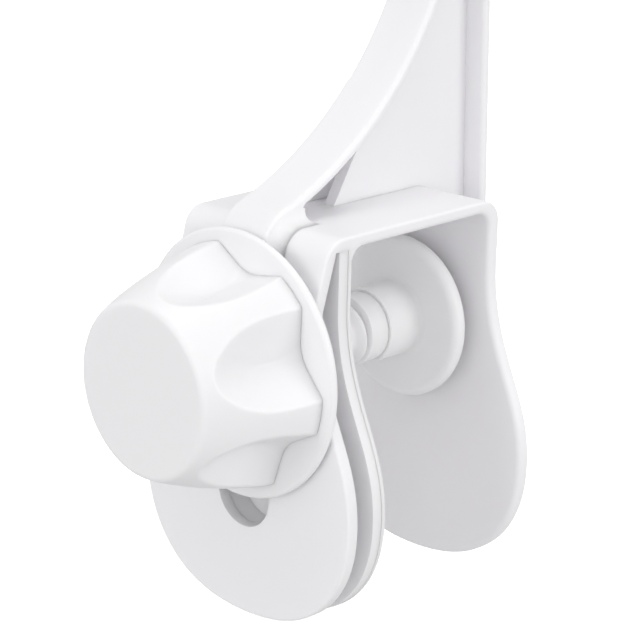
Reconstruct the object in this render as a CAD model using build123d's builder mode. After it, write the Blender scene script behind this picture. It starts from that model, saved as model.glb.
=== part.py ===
# Rail screw clamp with a curved I-section arm and a socket on top, in millimetres, +Z up
# The origin is the middle of the bridge's underside, where the rail sits
# +X points along the screw from the knob to the rear jaw
import os
from math import radians, sin, tan

from build123d import *

os.makedirs("parts", exist_ok=True)

# Clamp
jaw_gap = 37.6  # clear space between the jaws
bridge_t = 2.4
bridge_w = 38.6
neck_w = 37.8
neck_drop = 12.0  # every drop is measured down from the bridge's underside
flare_w = 47.6
flare_drop = 32.4
lobe_w = 56.2
lobe_drop = 49.2
toe_w = 46.4
toe_drop = 65.0
clamp_drop = 74.5
rear_t = 2.7
leg_t = 1.3  # inner front leg
plate_t = 2.3  # threaded plate against it
leg_gap = 4.3
outer_t = 2.35
lean = 16.6  # degrees, the outer leg's top leaning in to the bridge
bend_drop = 11.5
screw_drop = 23.7
slot_len = 25.9  # centre to centre

# Screw and pad
thread_r = 6.7
collar_len = 5.4
collar_step = 0.1
hub_len = 8.8
hub_wall = 1.2
pad_r = 16.4
pad_t = 3.6
pad_stand = 2.6  # pad to rear jaw as drawn
journal_share = 0.62  # of the thread's radius
boss_wall = 3.0
spigot_wall = 2.2

# Knob
flange_r = 26.0
flange_t = 1.6
knob_len = 22.9
knob_foot_step = 2.5  # lobes inside the base disc's rim
knob_taper = 6.9  # radius lost along the cone
knob_belly = 0.8  # how far the cone bows out
flute_count = 6
flute_turn = 42.0
flute_foot_depth = 4.3  # every depth is measured in from the lobes' foot radius
flute_foot_angle = 68.3  # half the opening of the rounded V
flute_foot_nose = 8.0  # its rounding
flute_mid = 9.2  # from the cone's foot
flute_mid_depth = 7.3
flute_mid_angle = 64.9
flute_mid_nose = 2.2
flute_tip = 16.0
flute_tip_depth = 6.7
flute_tip_angle = 67.8
flute_tip_nose = 8.0
flute_end_depth = 4.8
flute_end_nose = 10.0
flute_reach = 12.0  # height of the V
shell_wall = 3.6
ring_inset = 11.0
ring_wall = 1.6
ring_len = 5.0
hex_sides = 6
hex_inset = 1.1
hex_len = 9.5
hex_wall = 2.6
base_floor = 2.0

# Small screws and washer
head_inset = 0.15
head_len = 2.4
head_sink = 1.3
core_r = 1.5
core_grip = 12.0
washer_t = 0.8
washer_lip = 1.6

# Arm
arm_w = 12.0
arm_wall = 2.0
web_t = 2.6
spine_gap = 11.6  # rear jaw to the outer face of the rear flange
post_w = 10.7
shoulder_drop = 2.4
shoulder_r = 8.5
shoulder_turn = 69.9
sweep_turn = 48.4
crook_r = 40.0
tail_drop = 34.0
tail_end_drop = 50.0
tail_r = 12.0
foot_len = 10.7  # solid foot, from the outer leg along the bridge
foot_r = 1.2
window_start = 9.0  # from the outer leg, along the bridge
window_len = 14.1
window_rise = 18.0
window_reach = 11.1
gusset_t = 1.2  # behind the window
gusset_inset = 0.2
gusset_lap = 4.0
skirt_r = 2.8  # hollow blend beside the arm's foot
tenon_len = 6.5
tenon_gap = 9.0
tenon_inset = 4.8
socket_bore_r = 5.6
socket_wall = 3.2
socket_depth = 24.0
socket_floor = 4.0
socket_cone = 10.0

# Clearances and roundings
run_fit = 0.08  # radial, turning fits
turn_gap = 0.3  # along the axis, turning to still faces
knob_gap = 0.4  # base disc to outer leg as drawn
slip = 0.05  # pushed-in fits that do not move
seam = 0.2  # step where two mouldings meet
soft = 0.5
jaw_soft = 1.0
arm_soft = 0.8
rim_r = 0.7
pad_rim_r = 1.6
hub_root_r = 1.0
knob_end_round = 1.4
flute_round = 1.2
corner_r = 5.0
rear_corner_r = 4.5
inside_r = 3.0
bend_r = 10.0

# Places along X
leg_in = -jaw_gap / 2
leg_out = leg_in - leg_t
plate_out = leg_out - plate_t
outer_in = plate_out - leg_gap
outer_out = outer_in - outer_t
rear_in = jaw_gap / 2
rear_out = rear_in + rear_t
spine_x = rear_out + spine_gap
flange_back = outer_out - knob_gap
flange_front = flange_back - flange_t
hex_end = flange_back - hex_len
base_hub_end = hex_end - slip - base_floor
shell_back = flange_front - slip * 2
shell_end = shell_back - knob_len
pad_face = rear_in - pad_stand
pad_back = pad_face - pad_t
hub_back = pad_back - hub_len
collar_face = hub_back - turn_gap
collar_back = collar_face - collar_len
recess_floor = pad_face - turn_gap - washer_t - head_len - head_sink
journal_end = recess_floor + turn_gap
pad_head_back = journal_end + washer_t

# Radii and lines worked out from the sizes
lean_run = tan(radians(lean))
inner_bend_drop = bend_drop - outer_t * tan(radians(lean / 2))
below = clamp_drop + arm_w
slot_r = thread_r + turn_gap
spigot_r = thread_r + spigot_wall
boss_r = spigot_r + boss_wall
journal_r = thread_r * journal_share
head_r = journal_r - head_inset
washer_r = head_r + washer_lip
recess_r = washer_r + turn_gap * 2
hub_r = recess_r + hub_wall
hex_r = thread_r - hex_inset
base_hub_r = hex_r + hex_wall
ring_r = flange_r - ring_inset
knob_foot_r = flange_r - knob_foot_step
knob_end_r = knob_foot_r - knob_taper
socket_r = socket_bore_r + socket_wall
rise = radians(90 - shoulder_turn)  # slope where the shoulder ends
climb = radians(90 - shoulder_turn + sweep_turn)  # slope where the sweep ends
front_x = outer_out + slip
sweep_run = spine_x - post_w - front_x - shoulder_r * (1 - sin(rise)) - crook_r * (1 - sin(climb))
sweep_r = sweep_run / (sin(climb) - sin(rise))
post_x = spine_x - post_w / 2
screw_at = (0, -screw_drop)  # in the YZ plane
tenon_x = rear_in - tenon_inset - tenon_len / 2
tenon_mids = [(tenon_x, 0), (tenon_x - tenon_len - tenon_gap, 0)]


def near(across, up, reach=slip):
    # Picks a flat sketch's corners by their place
    return lambda v: abs(v.X - across) < reach and abs(v.Y - up) < reach


def jaw_edge(edge):
    # Picks the plates' rims round the space between the jaws
    mid = edge @ 0.5
    between = leg_in - slip < mid.X < rear_in + slip and mid.Z < slip
    return abs(mid.Y) > arm_w / 2 and between


def skin_edge(edge):
    # Picks the plates' rims on the clamp's outside
    mid = edge @ 0.5
    outside = mid.X < outer_out + slip or mid.X > rear_out - slip or mid.Z > bridge_t - slip
    return abs(mid.Y) > arm_w / 2 and outside


def flute_edge(edge):
    # Picks the edges where the flutes break through the cone
    places = [(edge @ 0).X, (edge @ 0.5).X, (edge @ 1).X]
    return max(places) - min(places) > knob_end_round and places[1] > shell_end + knob_end_round


def hub_root(edge):
    # Picks the edge where the pad's hub meets its disc
    round_edge = edge.geom_type == GeomType.CIRCLE
    return round_edge and abs(edge.radius - hub_r) < slip and abs(edge.arc_center.X - pad_back) < slip


def flute_section(height, depth, half_angle, nose):
    # One section of the flutes' cutter, opening away from the knob's axis
    half = radians(half_angle)
    corner = knob_foot_r - depth + nose - nose / sin(half)
    with BuildSketch(Plane.XY.offset(height)) as section:
        with BuildLine():
            Polyline(
                (corner, 0),
                (corner + flute_reach, flute_reach * tan(half)),
                (corner + flute_reach, -flute_reach * tan(half)),
                close=True,
            )
        make_face()
        fillet(section.vertices().sort_by(Axis.X)[0], nose)
    return section.sketch


def plate_outline(inset, top):
    # The pear-shaped outline that all the plates share
    with BuildSketch() as outline:
        with BuildLine():
            Line((0, top), (bridge_w / 2 - inset, top))
            Line((bridge_w / 2 - inset, top), (neck_w / 2 - inset, -neck_drop))
            Spline(
                (neck_w / 2 - inset, -neck_drop),
                (flare_w / 2 - inset, -flare_drop),
                (lobe_w / 2 - inset, -lobe_drop),
                tangents=((0, -1), (0, -1)),
            )
            Spline(
                (lobe_w / 2 - inset, -lobe_drop),
                (toe_w / 2 - inset, -toe_drop),
                (0, -clamp_drop + inset),
                tangents=((0, -1), (-1, 0)),
            )
            Line((0, -clamp_drop + inset), (0, top))
        make_face()
        mirror(about=Plane.YZ)
    return outline.sketch


frame_outline = plate_outline(0, bridge_t)
inset_outline = plate_outline(seam, -slip)

# The clamp's side view, filled in: the frame is cut from it and the arm sits round it
with BuildSketch() as clamp_side:
    with BuildLine():
        top_front = outer_out + (bend_drop + bridge_t) * lean_run
        Polyline(
            (outer_out, -below),
            (outer_out, -bend_drop),
            (top_front, bridge_t),
            (rear_out, bridge_t),
            (rear_out, -below),
            close=True,
        )
    make_face()
    fillet(clamp_side.vertices().filter_by(near(top_front, bridge_t)), corner_r)
    fillet(clamp_side.vertices().filter_by(near(rear_out, bridge_t)), rear_corner_r)
    fillet(clamp_side.vertices().filter_by(near(outer_out, -bend_drop)), bend_r)

# Space between the jaws
with BuildSketch() as jaw_space:
    with BuildLine():
        Polyline((leg_in, -below), (leg_in, 0), (rear_in, 0), (rear_in, -below), close=True)
    make_face()
    fillet(jaw_space.vertices().filter_by(lambda v: v.Y > -slip), inside_r)

# Space between the front legs, which narrows where the outer one leans in
with BuildSketch() as leg_space:
    with BuildLine():
        Polyline(
            (outer_in, -below),
            (outer_in, -inner_bend_drop),
            (outer_in + inner_bend_drop * lean_run, 0),
            (leg_out, 0),
            (leg_out, -below),
            close=True,
        )
    make_face()
    fillet(leg_space.vertices().filter_by(near(outer_in, -inner_bend_drop)), bend_r)

# Clamp frame
with BuildPart() as clamp_frame:
    with BuildSketch(Plane.XZ):
        add(clamp_side.sketch)
        add(jaw_space.sketch, mode=Mode.SUBTRACT)
        add(leg_space.sketch, mode=Mode.SUBTRACT)
    extrude(amount=lobe_w, both=True)
    with BuildSketch(Plane.YZ):
        add(frame_outline)
    extrude(amount=jaw_gap, both=True, mode=Mode.INTERSECT)
    fillet(clamp_frame.edges().filter_by(jaw_edge), jaw_soft)
    fillet(clamp_frame.edges().filter_by(skin_edge), soft)
    with BuildSketch(Plane.YZ.offset(outer_out - slip)):
        with Locations((0, -screw_drop - slot_len / 2)):
            SlotCenterToCenter(slot_len, slot_r * 2, rotation=90)
    extrude(amount=outer_t + slip * 2, mode=Mode.SUBTRACT)
    with BuildSketch(Plane.YZ.offset(leg_out - slip)):
        with Locations(screw_at):
            Circle(spigot_r)
    extrude(amount=leg_t + slip * 2, mode=Mode.SUBTRACT)
    with BuildSketch(Plane.XY):
        with Locations(*tenon_mids):
            Rectangle(tenon_len + slip * 2, web_t + slip * 2)
    extrude(amount=bridge_t, mode=Mode.SUBTRACT)

# Threaded plate: slides up between the legs, its boss towards the knob and its spigot in the inner leg
with BuildPart() as thread_plate:
    with BuildSketch(Plane.YZ.offset(plate_out)):
        add(inset_outline)
    extrude(amount=plate_t)
    with BuildSketch(Plane.YZ.offset(outer_in + slip)):
        with Locations(screw_at):
            Circle(boss_r)
    extrude(amount=leg_gap)
    with BuildSketch(Plane.YZ.offset(leg_out)):
        with Locations(screw_at):
            Circle(spigot_r - slip)
    extrude(amount=leg_t)
    with BuildSketch(Plane.YZ.offset(outer_in)):
        with Locations(screw_at):
            Circle(thread_r + run_fit)
    extrude(amount=leg_gap + plate_t + leg_t, mode=Mode.SUBTRACT)

# The arm's side view: its border becomes the flanges, its filling the web
with BuildSketch() as arm_side:
    with BuildLine():
        foot = Line((front_x, -bend_drop), (front_x, -shoulder_drop))
        over = JernArc(foot @ 1, foot % 1, shoulder_r, -shoulder_turn)
        up = JernArc(over @ 1, over % 1, sweep_r, sweep_turn)
        crook = JernArc(up @ 1, up % 1, crook_r, shoulder_turn - sweep_turn)
        arm_top = (crook @ 1).Y
        Polyline(
            crook @ 1,
            (spine_x, arm_top),
            (spine_x, -tail_drop),
            (rear_out, -tail_end_drop),
            (0, -tail_end_drop),
            (0, -bend_drop),
            foot @ 0,
        )
    make_face()
    fillet(arm_side.vertices().filter_by(near(spine_x, -tail_drop)), tail_r)

# The space between the flanges, above and behind the clamp
with BuildSketch() as between_flanges:
    add(arm_side.sketch)
    offset(amount=-arm_wall, mode=Mode.REPLACE)
    foot_x = outer_out + foot_len
    with Locations((foot_x, -tail_end_drop)):
        Rectangle(
            spine_x - foot_x,
            tail_end_drop + arm_top,
            align=(Align.MIN, Align.MIN),
            mode=Mode.INTERSECT,
        )
    add(clamp_side.sketch, mode=Mode.SUBTRACT)
    fillet(between_flanges.vertices().filter_by(lambda v: abs(v.X - foot_x) < slip), foot_r)

# The arm's window, and the gusset behind it
with BuildSketch() as window:
    with BuildLine():
        window_x = outer_out + window_start
        Polyline(
            (window_x, bridge_t),
            (window_x + window_len + window_reach, bridge_t + window_rise),
            (window_x + window_len, bridge_t),
            close=True,
        )
    make_face()
with BuildSketch() as gusset:
    add(arm_side.sketch)
    with BuildLine():
        gusset_x = window_x + window_len + gusset_lap
        gusset_top = bridge_t + window_rise + gusset_lap
        Polyline(
            (outer_out, 0),
            (outer_out, gusset_top),
            (gusset_x + window_reach * gusset_top / window_rise, gusset_top),
            (gusset_x, 0),
            close=True,
        )
    make_face(mode=Mode.INTERSECT)

# The hollow blend beside the arm's foot, swept over the clamp's shoulder
with BuildLine(Plane.XZ.offset(-arm_w / 2)) as shoulder:
    FilletPolyline(
        (outer_out, -bend_drop),
        (top_front, bridge_t),
        (foot_x + foot_r, bridge_t),
        radius=corner_r,
    )
with BuildPart() as skirt:
    start = shoulder.wires()[0]
    with BuildSketch(Plane(origin=start @ 0, x_dir=(0, 1, 0), z_dir=start % 0)):
        with BuildLine():
            hollow = ThreePointArc(
                (skirt_r, 0),
                (skirt_r * (1 - sin(radians(45))), skirt_r * (1 - sin(radians(45)))),
                (0, skirt_r),
            )
            Polyline(hollow @ 1, (-soft, skirt_r), (-soft, -soft), (skirt_r, -soft), hollow @ 0)
        make_face()
    sweep(path=start)
    mirror(about=Plane.XZ)
    with BuildSketch(Plane.XZ):
        add(arm_side.sketch)
        add(between_flanges.sketch, mode=Mode.SUBTRACT)
    extrude(amount=arm_w, both=True, mode=Mode.INTERSECT)

# Arm
with BuildPart() as arm:
    with BuildSketch(Plane.XZ):
        add(arm_side.sketch)
        add(between_flanges.sketch, mode=Mode.SUBTRACT)
    extrude(amount=arm_w / 2, both=True)
    rims = arm.faces().filter_by(Axis.Y).sort_by(Axis.Y)
    fillet(rims[0].edges() + rims[-1].edges(), arm_soft)
    with BuildSketch(Plane.XZ):
        add(arm_side.sketch)
        add(window.sketch, mode=Mode.SUBTRACT)
    extrude(amount=web_t / 2, both=True)
    with BuildSketch(Plane.XZ.offset(gusset_inset - arm_w / 2)):
        add(gusset.sketch)
    extrude(amount=gusset_t)
    add(skirt.part)
    with BuildSketch(Plane.XZ):
        add(clamp_side.sketch)
    extrude(amount=lobe_w, both=True, mode=Mode.SUBTRACT)
    with BuildSketch(Plane.XY):
        with Locations(*tenon_mids):
            Rectangle(tenon_len, web_t)
    extrude(amount=bridge_t)
    with BuildSketch(Plane.XY.offset(arm_top - socket_cone)):
        with Locations((post_x, 0)):
            Circle(post_w / 2 - arm_soft)
    with BuildSketch(Plane.XY.offset(arm_top)):
        with Locations((post_x, 0)):
            Circle(socket_r)
    loft()
    with BuildSketch(Plane.XY.offset(arm_top)):
        with Locations((post_x, 0)):
            Circle(socket_r)
    extrude(amount=socket_floor + socket_depth)
    mouth = arm.faces().sort_by(Axis.Z)[-1]
    fillet(mouth.edges(), soft)
    with BuildSketch(Plane.XY.offset(arm_top + socket_floor)):
        with Locations((post_x, 0)):
            Circle(socket_bore_r)
    extrude(amount=socket_depth, mode=Mode.SUBTRACT)

# Clamp screw: hexagon in the knob, thread, collar that pushes the pad, journal the pad swivels on
with BuildPart() as clamp_screw:
    with BuildSketch(Plane.YZ.offset(flange_back)):
        with Locations(screw_at):
            Circle(thread_r)
    extrude(amount=collar_back - flange_back)
    with BuildSketch(Plane.YZ.offset(collar_back)):
        with Locations(screw_at):
            Circle(thread_r - collar_step)
    extrude(amount=collar_len)
    with BuildSketch(Plane.YZ.offset(collar_face)):
        with Locations(screw_at):
            Circle(journal_r)
    extrude(amount=journal_end - collar_face)
    with BuildSketch(Plane.YZ.offset(hex_end)):
        with Locations(screw_at):
            RegularPolygon(hex_r, hex_sides)
    extrude(amount=hex_len)
    with BuildSketch(Plane.YZ.offset(hex_end)):
        with Locations(screw_at):
            Circle(core_r)
    extrude(amount=core_grip, mode=Mode.SUBTRACT)
    with BuildSketch(Plane.YZ.offset(journal_end)):
        with Locations(screw_at):
            Circle(core_r)
    extrude(amount=-core_grip, mode=Mode.SUBTRACT)

# Knob base: disc, hub on the hexagon, ring that the cone pushes onto
with BuildPart() as knob_base:
    with BuildSketch(Plane.YZ.offset(flange_front)):
        with Locations(screw_at):
            Circle(flange_r)
    extrude(amount=flange_t)
    fillet(knob_base.edges(), rim_r)
    with BuildSketch(Plane.YZ.offset(base_hub_end)):
        with Locations(screw_at):
            Circle(base_hub_r)
    extrude(amount=flange_front - base_hub_end)
    with BuildSketch(Plane.YZ.offset(flange_front - ring_len)):
        with Locations(screw_at):
            Circle(ring_r)
            Circle(ring_r - ring_wall, mode=Mode.SUBTRACT)
    extrude(amount=ring_len)
    with BuildSketch(Plane.YZ.offset(hex_end - slip)):
        with Locations(screw_at):
            RegularPolygon(hex_r + slip, hex_sides)
    extrude(amount=hex_len + slip, mode=Mode.SUBTRACT)
    with BuildSketch(Plane.YZ.offset(base_hub_end)):
        with Locations(screw_at):
            Circle(core_r + slip)
    extrude(amount=base_floor, mode=Mode.SUBTRACT)

# Cutter for the flutes, along Z from the cone's foot: a rounded V that flares out at the foot
with BuildPart() as flute:
    loft(
        sections=[
            flute_section(seam, flute_foot_depth, flute_foot_angle, flute_foot_nose),
            flute_section(-flute_mid, flute_mid_depth, flute_mid_angle, flute_mid_nose),
            flute_section(-flute_tip, flute_tip_depth, flute_tip_angle, flute_tip_nose),
            flute_section(-knob_len - seam, flute_end_depth, flute_tip_angle, flute_end_nose),
        ]
    )

# Knob cone: bowed, fluted, hollow behind
knob_place = Plane(origin=(shell_back, 0, -screw_drop), x_dir=(0, 1, 0), z_dir=(1, 0, 0))
with BuildPart() as cone:
    with BuildSketch(Plane.XZ):
        with BuildLine():
            side = SagittaArc((knob_foot_r, 0), (knob_end_r, -knob_len), knob_belly)
            Polyline(side @ 1, (0, -knob_len), (0, 0), side @ 0)
        make_face()
    revolve(axis=Axis.Z)
    fillet(cone.faces().sort_by(Axis.Z)[0].edges(), knob_end_round)
with BuildPart() as knob_shell:
    with Locations(knob_place):
        add(cone.part)
        with PolarLocations(0, flute_count, start_angle=flute_turn):
            add(flute.part, mode=Mode.SUBTRACT)
    fillet(knob_shell.edges().filter_by(flute_edge), flute_round)
    with BuildSketch(Plane.YZ.offset(shell_back)):
        with Locations(screw_at):
            Circle(ring_r + slip)
    extrude(amount=-ring_len - slip, mode=Mode.SUBTRACT)
    with BuildSketch(Plane.YZ.offset(shell_end + shell_wall)):
        with Locations(screw_at):
            Circle(ring_r - ring_wall)
    extrude(amount=knob_len - shell_wall, mode=Mode.SUBTRACT)

# Swivel pad with its screw sunk in the face
with BuildPart() as pressure_pad:
    with BuildSketch(Plane.YZ.offset(pad_back)):
        with Locations(screw_at):
            Circle(pad_r)
    extrude(amount=pad_t)
    fillet(pressure_pad.edges(), pad_rim_r)
    with BuildSketch(Plane.YZ.offset(hub_back)):
        with Locations(screw_at):
            Circle(hub_r)
    extrude(amount=hub_len)
    fillet(pressure_pad.edges().filter_by(hub_root), hub_root_r)
    with BuildSketch(Plane.YZ.offset(hub_back)):
        with Locations(screw_at):
            Circle(journal_r + run_fit)
    extrude(amount=recess_floor - hub_back, mode=Mode.SUBTRACT)
    with BuildSketch(Plane.YZ.offset(recess_floor)):
        with Locations(screw_at):
            Circle(recess_r)
    extrude(amount=pad_face - recess_floor, mode=Mode.SUBTRACT)

with BuildPart() as pad_washer:
    with BuildSketch(Plane.YZ.offset(journal_end)):
        with Locations(screw_at):
            Circle(washer_r)
            Circle(core_r + slip, mode=Mode.SUBTRACT)
    extrude(amount=washer_t)

# The two small screws: head, then shank into the clamp screw's ends
with BuildPart() as pad_screw:
    with BuildSketch(Plane.YZ.offset(pad_head_back)):
        with Locations(screw_at):
            Circle(head_r)
    extrude(amount=head_len)
    fillet(pad_screw.faces().sort_by(Axis.X)[-1].edges(), rim_r)
    with BuildSketch(Plane.YZ.offset(pad_head_back)):
        with Locations(screw_at):
            Circle(core_r)
    extrude(amount=-core_grip)

with BuildPart() as knob_screw:
    with BuildSketch(Plane.YZ.offset(base_hub_end)):
        with Locations(screw_at):
            Circle(head_r)
    extrude(amount=-head_len)
    fillet(knob_screw.faces().sort_by(Axis.X)[0].edges(), rim_r)
    with BuildSketch(Plane.YZ.offset(base_hub_end)):
        with Locations(screw_at):
            Circle(core_r)
    extrude(amount=core_grip)

clamp_frame.part.label = "clamp_frame"
thread_plate.part.label = "thread_plate"
arm.part.label = "arm"
clamp_screw.part.label = "clamp_screw"
knob_base.part.label = "knob_base"
knob_shell.part.label = "knob_shell"
knob_screw.part.label = "knob_screw"
pressure_pad.part.label = "pressure_pad"
pad_washer.part.label = "pad_washer"
pad_screw.part.label = "pad_screw"

export_step(clamp_frame.part, "parts/clamp_frame.step")
export_step(thread_plate.part, "parts/thread_plate.step")
export_step(arm.part, "parts/arm.step")
export_step(clamp_screw.part, "parts/clamp_screw.step")
export_step(knob_base.part, "parts/knob_base.step")
export_step(knob_shell.part, "parts/knob_shell.step")
export_step(knob_screw.part, "parts/knob_screw.step")
export_step(pressure_pad.part, "parts/pressure_pad.step")
export_step(pad_washer.part, "parts/pad_washer.step")
export_step(pad_screw.part, "parts/pad_screw.step")
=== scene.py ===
import math

import bpy
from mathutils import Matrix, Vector


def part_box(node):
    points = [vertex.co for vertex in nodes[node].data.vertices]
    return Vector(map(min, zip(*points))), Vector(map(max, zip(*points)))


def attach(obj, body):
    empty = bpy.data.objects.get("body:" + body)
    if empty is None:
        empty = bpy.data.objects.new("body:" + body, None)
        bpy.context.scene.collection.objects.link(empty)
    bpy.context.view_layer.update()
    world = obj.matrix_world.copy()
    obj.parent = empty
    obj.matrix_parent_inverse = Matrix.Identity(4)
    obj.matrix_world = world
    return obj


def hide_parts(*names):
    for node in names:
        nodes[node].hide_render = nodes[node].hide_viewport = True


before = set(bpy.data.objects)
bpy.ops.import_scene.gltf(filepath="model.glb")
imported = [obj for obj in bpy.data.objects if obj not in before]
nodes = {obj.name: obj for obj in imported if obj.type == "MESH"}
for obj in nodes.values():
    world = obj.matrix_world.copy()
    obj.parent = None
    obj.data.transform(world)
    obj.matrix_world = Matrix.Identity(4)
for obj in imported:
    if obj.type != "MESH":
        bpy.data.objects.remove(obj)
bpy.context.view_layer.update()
mm = 0.001
print("stage: frame loaded")


# materials

class Wire:
    # a shader socket that can be used in sums
    def __init__(self, tree, socket=None):
        self.tree = tree
        self.socket = socket

    def add(self, kind, settings=None, inputs=None, output=0):
        node = self.tree.nodes.new("ShaderNode" + kind)
        for key, value in (settings or {}).items():
            setattr(node, key, value)
        for key, value in (inputs or {}).items():
            if isinstance(value, Wire):
                self.tree.links.new(value.socket, node.inputs[key])
            else:
                node.inputs[key].default_value = value
        return Wire(self.tree, node.outputs[output] if node.outputs else None)

    def math(self, operation, first, second):
        return self.add("Math", {"operation": operation}, {0: first, 1: second})

    def __add__(self, other):
        return self.math("ADD", self, other)

    def __radd__(self, other):
        return self.math("ADD", other, self)

    def __mul__(self, other):
        return self.math("MULTIPLY", self, other)

    def __rmul__(self, other):
        return self.math("MULTIPLY", other, self)


def startMaterial(name):
    material = bpy.data.materials.new(name)
    material.use_nodes = True
    material.node_tree.nodes.clear()
    return material, Wire(material.node_tree)


whitePlastic = {
    "body": dict(
        colour=(0.90, 0.893, 0.91),
        shade=(0.885, 0.878, 0.897),
        rough=0.44,
        grain=0.45 * mm,
        depth=0.12,
    ),
    "arm": dict(
        colour=(0.90, 0.893, 0.91),
        shade=(0.885, 0.878, 0.897),
        rough=0.44,
        grain=0.45 * mm,
        depth=0.12,
    ),
    "knob": dict(
        colour=(0.90, 0.896, 0.91),
        shade=(0.885, 0.88, 0.897),
        rough=0.42,
        grain=0.6 * mm,
        depth=0.08,
    ),
    "screw": dict(
        colour=(0.90, 0.896, 0.905),
        shade=(0.885, 0.88, 0.89),
        rough=0.42,
        grain=0.5 * mm,
        depth=0.08,
    ),
}
plasticBase = dict(
    cloud=60.0,  # scale of the slow change from colour to shade
    rub=220.0,  # scale of the change in roughness
    rubRange=0.1,
    grainHeight=0.05 * mm,
    ior=1.49,
    glow=0.5,  # share of light that spreads under the surface
    glowTint=(1.0, 0.95, 1.0),
    glowReach=1.5 * mm,
)


def mouldedPlastic(name, look, base):
    material, wire = startMaterial(name)
    place = wire.add("TexCoord", output="Object")
    cloud = wire.add("TexNoise", inputs={"Vector": place, "Scale": base["cloud"], "Detail": 2.0})
    grain = wire.add("TexNoise", inputs={"Vector": place, "Scale": 1 / look["grain"], "Detail": 3.0})
    rub = wire.add(
        "TexNoise",
        inputs={"Vector": place, "Scale": base["rub"], "Detail": 4.0, "Roughness": 0.6},
    )
    # 6 and 7 are the node's colour inputs, and output 2 is its colour
    colour = wire.add(
        "Mix",
        {"data_type": "RGBA"},
        {"Factor": cloud, 6: look["colour"] + (1.0,), 7: look["shade"] + (1.0,)},
        output=2,
    )
    rough = rub * base["rubRange"] + (look["rough"] - base["rubRange"] / 2)
    bump = wire.add(
        "Bump",
        inputs={"Height": grain, "Strength": look["depth"], "Distance": base["grainHeight"]},
    )
    shader = wire.add(
        "BsdfPrincipled",
        inputs={
            "Base Color": colour,
            "Roughness": rough,
            "Normal": bump,
            "IOR": base["ior"],
            "Subsurface Weight": base["glow"],
            "Subsurface Radius": base["glowTint"],
            "Subsurface Scale": base["glowReach"],
        },
    )
    wire.add("OutputMaterial", inputs={"Surface": shader})
    return material


platedSteelLook = dict(colour=(0.62, 0.62, 0.64), rough=0.28, lathe=900.0, latheRange=0.2)


def platedSteel(name, look):
    material, wire = startMaterial(name)
    place = wire.add("TexCoord", output="Object")
    lathe = wire.add("TexNoise", inputs={"Vector": place, "Scale": look["lathe"], "Detail": 3.0})
    shader = wire.add(
        "BsdfPrincipled",
        inputs={
            "Base Color": look["colour"] + (1.0,),
            "Metallic": 1.0,
            "Roughness": lathe * look["latheRange"] + (look["rough"] - look["latheRange"] / 2),
        },
    )
    wire.add("OutputMaterial", inputs={"Surface": shader})
    return material


finishes = {key: mouldedPlastic(key + "White", look, plasticBase) for key, look in whitePlastic.items()}
finishes["steel"] = platedSteel("platedSteel", platedSteelLook)
nodeFinish = {
    "clamp_frame": "body",
    "thread_plate": "body",
    "arm": "arm",
    "knob_base": "knob",
    "knob_shell": "knob",
    "pressure_pad": "screw",
    "pad_washer": "steel",
}
for node, key in nodeFinish.items():
    nodes[node].data.materials.clear()
    nodes[node].data.materials.append(finishes[key])
print("stage: materials")


# modelling helpers

screwLow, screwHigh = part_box("clamp_screw")
axisHeight = (screwLow.z + screwHigh.z) / 2
cutTolerance = 0.001 * mm
creaseAngle = math.radians(35)  # sharper edges stay sharp in the shading
leadIn = 2  # turns wound before a thread's start and cut off again


def activate(piece):
    bpy.ops.object.select_all(action="DESELECT")
    piece.select_set(True)
    bpy.context.view_layer.objects.active = piece


def addRod(name, start, end, radius, sides=64, height=axisHeight):
    # a bar along the screw's axis, or below it
    bpy.ops.object.select_all(action="DESELECT")
    bpy.ops.mesh.primitive_cylinder_add(
        vertices=sides,
        radius=radius,
        depth=end - start,
        location=((start + end) / 2, 0, height),
        rotation=(0, math.pi / 2, 0),
    )
    rod = bpy.context.object
    rod.name = name
    bpy.ops.object.transform_apply(location=True, rotation=True, scale=True)
    return rod


def addTongue(name, start, end, radius, low, top):
    # a bar with a round lower end and straight sides
    tongue = addRod(name, start, end, radius, height=low)
    bpy.ops.object.mode_set(mode="EDIT")
    bpy.ops.mesh.select_all(action="SELECT")
    bpy.ops.mesh.bisect(plane_co=(0, 0, low), plane_no=(0, 0, 1), use_fill=True, clear_outer=True)
    bpy.ops.mesh.extrude_region_move(TRANSFORM_OT_translate={"value": (0, 0, top - low)})
    bpy.ops.object.mode_set(mode="OBJECT")
    return tongue


def addBlock(name, middle, size, turn):
    bpy.ops.object.select_all(action="DESELECT")
    bpy.ops.mesh.primitive_cube_add(size=1, location=middle, rotation=(turn, 0, 0))
    block = bpy.context.object
    block.name = name
    block.scale = size
    bpy.ops.object.transform_apply(location=True, rotation=True, scale=True)
    return block


def bevelEdges(piece, wanted, width, segments):
    # rounds the edges whose middle passes the test
    activate(piece)
    bpy.ops.object.mode_set(mode="EDIT")
    bpy.ops.mesh.select_mode(type="EDGE")
    bpy.ops.mesh.select_all(action="DESELECT")
    bpy.ops.object.mode_set(mode="OBJECT")
    for edge in piece.data.edges:
        first, second = (piece.data.vertices[i].co for i in edge.vertices)
        edge.select = wanted((first + second) / 2)
    bpy.ops.object.mode_set(mode="EDIT")
    bpy.ops.mesh.bevel(offset=width, segments=segments, affect="EDGES")
    bpy.ops.object.mode_set(mode="OBJECT")


def combine(piece, other, operation):
    activate(piece)
    boolean = piece.modifiers.new("combine", "BOOLEAN")
    boolean.operation = operation
    boolean.solver = "EXACT"
    boolean.object = other
    bpy.ops.object.modifier_apply(modifier=boolean.name)
    bpy.data.objects.remove(other)


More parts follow.
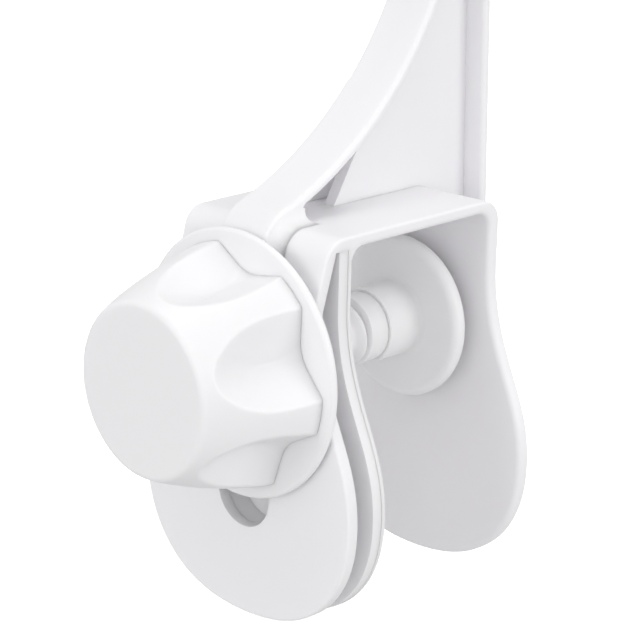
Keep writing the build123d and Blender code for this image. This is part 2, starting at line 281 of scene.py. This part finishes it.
def addThread(name, start, end, look):
    # one pitch of the ridge's outline is drawn point by point, then wound along the axis
    bpy.ops.object.select_all(action="DESELECT")
    bpy.ops.mesh.primitive_plane_add(size=mm, location=(0, 0, axisHeight))
    thread = bpy.context.object
    thread.name = name
    pitch, points = look["pitch"], look["points"]
    # half a step more keeps the cuts clear of the winding's points
    first = start + ((look["phase"] + 0.5) / look["steps"] - leadIn) * pitch
    bpy.ops.object.mode_set(mode="EDIT")
    bpy.ops.mesh.select_mode(type="VERT")
    bpy.ops.mesh.select_all(action="SELECT")
    bpy.ops.mesh.merge(type="CENTER")
    bpy.ops.transform.translate(value=(first, 0, look["root"]))
    rise = look["crest"] - look["root"]
    waves = [0.5 - 0.5 * math.cos(2 * math.pi * i / points) for i in range(points + 1)]
    heights = [wave ** look["fullness"] * rise for wave in waves]
    for low, high in zip(heights, heights[1:]):
        step = (pitch / points, 0, high - low)
        bpy.ops.mesh.extrude_region_move(TRANSFORM_OT_translate={"value": step})
    bpy.ops.object.mode_set(mode="OBJECT")
    winding = thread.modifiers.new("winding", "SCREW")
    winding.axis = "X"
    winding.screw_offset = pitch
    winding.iterations = math.ceil((end - start) / pitch) + leadIn + 1
    winding.steps = winding.render_steps = look["steps"]
    winding.use_merge_vertices = True
    winding.merge_threshold = cutTolerance
    bpy.ops.object.modifier_apply(modifier=winding.name)
    bpy.ops.object.mode_set(mode="EDIT")
    bpy.ops.mesh.select_all(action="SELECT")
    bpy.ops.mesh.remove_doubles(threshold=cutTolerance)
    for place, cut in ((start, "clear_inner"), (end, "clear_outer")):
        bpy.ops.mesh.select_all(action="SELECT")
        bpy.ops.mesh.bisect(
            plane_co=(place, 0, axisHeight),
            plane_no=(1, 0, 0),
            use_fill=True,
            threshold=cutTolerance,
            **{cut: True},
        )
    bpy.ops.mesh.select_all(action="SELECT")
    bpy.ops.mesh.normals_make_consistent(inside=False)
    bpy.ops.object.mode_set(mode="OBJECT")
    bpy.ops.object.transform_apply(location=True, rotation=True, scale=True)
    return thread


def settle(piece, body, finish, node=None):
    # the finished piece joins its body, and takes the place of its CAD node where it has one
    activate(piece)
    piece.data.materials.clear()
    piece.data.materials.append(finish)
    bpy.ops.object.shade_smooth_by_angle(angle=creaseAngle)
    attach(piece, body)
    if node:
        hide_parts(node)


# clamp screw with its rounded thread

clampScrewLook = dict(
    pitch=4.0 * mm,
    phase=-2,  # in steps of the winding
    crest=6.6 * mm,
    root=5.0 * mm,
    fullness=1.4,  # above 1 the ridges are narrower than the grooves
    points=16,
    steps=64,
    shoulder=6.7 * mm,
    shoulderLength=0.8 * mm,
    bite=0.5 * mm,  # how far thread and hexagon reach into the shoulder
    collar=6.9 * mm,
    collarLength=4.7 * mm,
    collarRim=0.2 * mm,
    collarRimSteps=3,
    collarGap=0.02 * mm,
    journal=4.15 * mm,
    hexagon=5.6 * mm,
    hexagonSides=6,
    core=1.5 * mm,
    coreSides=24,
    coreDepth=12.0 * mm,
    overlap=0.6 * mm,
)


def buildClampScrew(look):
    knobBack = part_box("knob_base")[1].x
    shoulderBack = knobBack + look["shoulderLength"]
    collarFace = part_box("pressure_pad")[0].x - look["collarGap"]
    collarBack = collarFace - look["collarLength"]

    def onCollarRim(point):
        return (point - Vector((point.x, 0, axisHeight))).length > look["journal"]

    screw = addThread("clampScrew", shoulderBack - look["bite"], collarBack + look["overlap"], look)
    combine(screw, addRod("shoulder", knobBack, shoulderBack, look["shoulder"]), "UNION")
    collar = addRod("collar", collarBack, collarFace, look["collar"])
    bevelEdges(collar, onCollarRim, look["collarRim"], look["collarRimSteps"])
    combine(screw, collar, "UNION")
    journal = addRod("journal", collarFace - look["overlap"], screwHigh.x, look["journal"])
    combine(screw, journal, "UNION")
    hexagon = addRod("hexagon", screwLow.x, knobBack + look["bite"], look["hexagon"], look["hexagonSides"])
    combine(screw, hexagon, "UNION")
    for end, side in ((screwLow.x, 1), (screwHigh.x, -1)):
        mouth, floor = end - side * look["overlap"], end + side * look["coreDepth"]
        core = addRod("core", min(mouth, floor), max(mouth, floor), look["core"], look["coreSides"])
        combine(screw, core, "DIFFERENCE")
    settle(screw, "screw", finishes["screw"], node="clamp_screw")


buildClampScrew(clampScrewLook)
print("stage: clamp screw")

# the two small screws with cross recesses

smallScrewLook = dict(
    head=4.0 * mm,
    headSides=48,
    headDepth=2.4 * mm,
    rim=0.7 * mm,
    rimSteps=4,
    crossWidth=1.0 * mm,
    crossLength=4.6 * mm,
    crossDepth=1.3 * mm,
    pitch=1.0 * mm,
    phase=0,
    crest=1.48 * mm,
    root=1.1 * mm,
    fullness=1.0,
    points=8,
    steps=24,
    overlap=0.3 * mm,
)


def buildSmallScrew(name, node, outward, look):
    low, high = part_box(node)
    top = high.x if outward > 0 else low.x
    tip = low.x if outward > 0 else high.x
    seat = top - outward * look["headDepth"]
    screw = addRod(name, min(seat, top), max(seat, top), look["head"], look["headSides"])
    bevelEdges(screw, lambda point: abs(point.x - top) < cutTolerance, look["rim"], look["rimSteps"])
    inside = seat + outward * look["overlap"]
    combine(screw, addThread("shank", min(inside, tip), max(inside, tip), look), "UNION")
    bar = (2 * look["crossDepth"], look["crossWidth"], look["crossLength"])
    for turn in (0, math.pi / 2):
        combine(screw, addBlock("bar", (top, 0, axisHeight), bar, turn), "DIFFERENCE")
    settle(screw, "screw", finishes["steel"], node=node)


buildSmallScrew("padScrew", "pad_screw", 1, smallScrewLook)
buildSmallScrew("knobScrew", "knob_screw", -1, smallScrewLook)
print("stage: small screws")

# U-shaped rib of the threaded plate, behind the outer leg's slot

slotRibLook = dict(
    inside=7.0 * mm,
    wall=1.2 * mm,
    depth=4.25 * mm,
    drop=25.9 * mm,  # screw's axis down to the middle of the round end
    top=8.5 * mm,  # screw's axis down to the open end
    spare=1.0 * mm,
)


def buildSlotRib(look):
    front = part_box("thread_plate")[0].x
    back = front + look["depth"]
    low = axisHeight - look["drop"]
    top = axisHeight - look["top"]
    spare = look["spare"]
    rib = addTongue("slotRib", front, back, look["inside"] + look["wall"], low, top)
    hollow = addTongue("hollow", front - spare, back + spare, look["inside"], low, top + spare)
    combine(rib, hollow, "DIFFERENCE")
    settle(rib, "clamp", finishes["body"])


buildSlotRib(slotRibLook)
print("stage: slot rib")

# floor, lights, camera

stageLook = dict(
    floorDrop=0.30,
    floorSize=12.0,
    floorColour=(0.62, 0.62, 0.62, 1.0),
    floorRough=0.9,
    skyColour=(1, 1, 1, 1),
    sky=0.71,
)
bpy.ops.object.select_all(action="DESELECT")
bpy.ops.mesh.primitive_plane_add(size=stageLook["floorSize"], location=(0, 0, -stageLook["floorDrop"]))
floor = bpy.context.object
floor.name = "floor"
floorPaint = bpy.data.materials.new("floorPaint")
floorPaint.use_nodes = True
floorSockets = floorPaint.node_tree.nodes["Principled BSDF"].inputs
floorSockets["Base Color"].default_value = stageLook["floorColour"]
floorSockets["Roughness"].default_value = stageLook["floorRough"]
floor.data.materials.append(floorPaint)

world = bpy.data.worlds.new("sky")
bpy.context.scene.world = world
world.use_nodes = True
skySockets = world.node_tree.nodes["Background"].inputs
skySockets["Color"].default_value = stageLook["skyColour"]
skySockets["Strength"].default_value = stageLook["sky"]
bpy.context.scene.view_settings.view_transform = "Standard"


def addLamp(name, look):
    bpy.ops.object.light_add(type="AREA", location=look["at"])
    lamp = bpy.context.object
    lamp.name = name
    lamp.data.shape = "RECTANGLE"
    lamp.data.size, lamp.data.size_y = look["size"]
    lamp.data.energy = look["power"]
    return lamp


lamps = {
    "topLamp": dict(at=(0, 0, 1.05), aim=(0, 0, 0), size=(0.5, 0.5), power=2.0),
    "frontLamp": dict(at=(-0.75, -0.7, 0.15), aim=(0, 0, 0), size=(0.5, 0.5), power=1.0),
    "leftLamp": dict(at=(-1.0, 0.1, 0.25), aim=(0, 0, 0), size=(0.5, 0.5), power=1.88),
    "rightLamp": dict(at=(0.3, -0.95, 0.3), aim=(0, 0, 0), size=(0.5, 0.5), power=2.53),
}
for name, look in lamps.items():
    lamp = addLamp(name, look)
    lamp.rotation_euler = (Vector(look["aim"]) - lamp.location).to_track_quat("-Z", "Y").to_euler()

# faces down onto the floor behind the clamp, so that the background turns white
backdropLook = dict(at=(0.95, 0.95, 0.25), turn=45, size=(1.7, 0.8), spread=70, power=8.5)
backdropLamp = addLamp("backdropLamp", backdropLook)
backdropLamp.rotation_euler.z = math.radians(backdropLook["turn"])
backdropLamp.data.spread = math.radians(backdropLook["spread"])

view = dict(
    at=(-0.31869, -0.31096, 0.11403),
    yaw=45.06,  # from +X towards +Y
    pitch=16.96,  # looking down
    lens=134.04,
    sensor=36.0,
    near=0.01,
)
bpy.ops.object.camera_add(location=view["at"])
camera = bpy.context.object
camera.rotation_euler = (math.radians(90 - view["pitch"]), 0, math.radians(view["yaw"] - 90))
camera.data.lens = view["lens"]
camera.data.sensor_width = view["sensor"]
camera.data.clip_start = view["near"]
bpy.context.scene.camera = camera
print("stage: floor, lights and camera")
